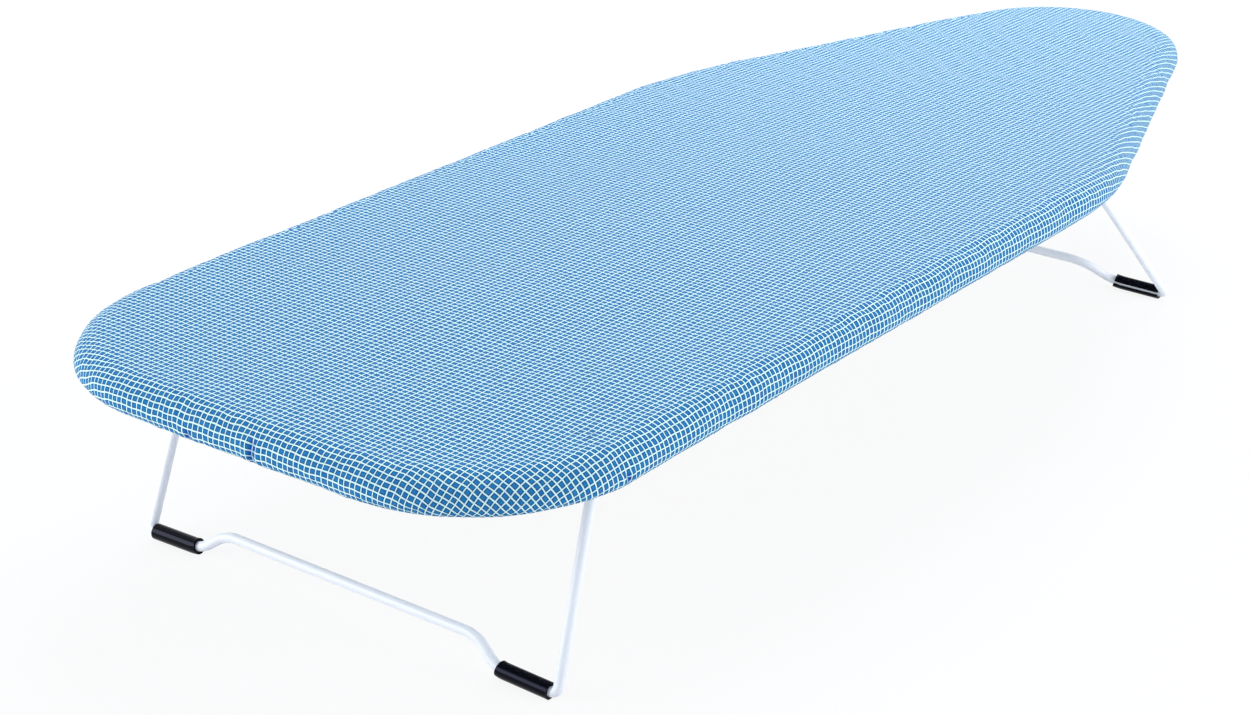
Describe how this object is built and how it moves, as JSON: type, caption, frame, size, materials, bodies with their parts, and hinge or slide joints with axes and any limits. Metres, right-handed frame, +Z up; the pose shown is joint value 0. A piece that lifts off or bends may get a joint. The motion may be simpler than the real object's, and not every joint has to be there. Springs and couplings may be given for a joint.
{
  "type": "tabletop ironing board",
  "caption": "Low ironing board with a padded, cloth-covered top that tapers to a round nose, on folding bent-wire legs with split plastic foot sleeves.",
  "frame": {"origin": "on the table, below the middle of the board's length and width", "axes": "+X along the board from the broad tail to the tapered nose, +Y to the board's left, +Z up"},
  "size_m": [0.79, 0.304, 0.12],
  "materials": {
    "cover_cotton": "woven cotton, blue with a fine white check",
    "elastic": "braided white elastic",
    "pad_felt": "needled felt",
    "top_steel": "light grey baked enamel",
    "frame_enamel": "white baked enamel",
    "zinc_steel": "bright zinc plate",
    "wire_coat": "white powder coat",
    "foot_plastic": "glossy black extruded plastic"
  },
  "bodies": {
    "board": {"cover": "cover_cotton", "hem_elastic": "elastic", "pad": "pad_felt", "vented_top": "top_steel", "rim_tube": "frame_enamel", "tail_rail": "frame_enamel", "middle_rail": "frame_enamel", "nose_rail": "frame_enamel", "tail_saddle_left": "zinc_steel", "tail_saddle_right": "zinc_steel", "nose_saddle_left": "zinc_steel", "nose_saddle_right": "zinc_steel", "tail_rivet_left_inner": "zinc_steel", "tail_rivet_left_outer": "zinc_steel", "tail_rivet_right_inner": "zinc_steel", "tail_rivet_right_outer": "zinc_steel", "nose_rivet_left_inner": "zinc_steel", "nose_rivet_left_outer": "zinc_steel", "nose_rivet_right_inner": "zinc_steel", "nose_rivet_right_outer": "zinc_steel"},
    "tail_leg": {"tail_leg_wire": "wire_coat", "tail_foot_left": "foot_plastic", "tail_foot_right": "foot_plastic"},
    "nose_leg": {"nose_leg_wire": "wire_coat", "nose_foot_left": "foot_plastic", "nose_foot_right": "foot_plastic"}
  },
  "joints": [
    {"name": "tail_leg_fold", "type": "hinge", "parent": "board", "child": "tail_leg", "pos_m": [-0.296, 0, 0.1072], "axis": [0, -1, 0], "range_deg": [0, 109]},
    {"name": "nose_leg_fold", "type": "hinge", "parent": "board", "child": "nose_leg", "pos_m": [0.135, 0, 0.1072], "axis": [0, 1, 0], "range_deg": [0, 133]}
  ]
}
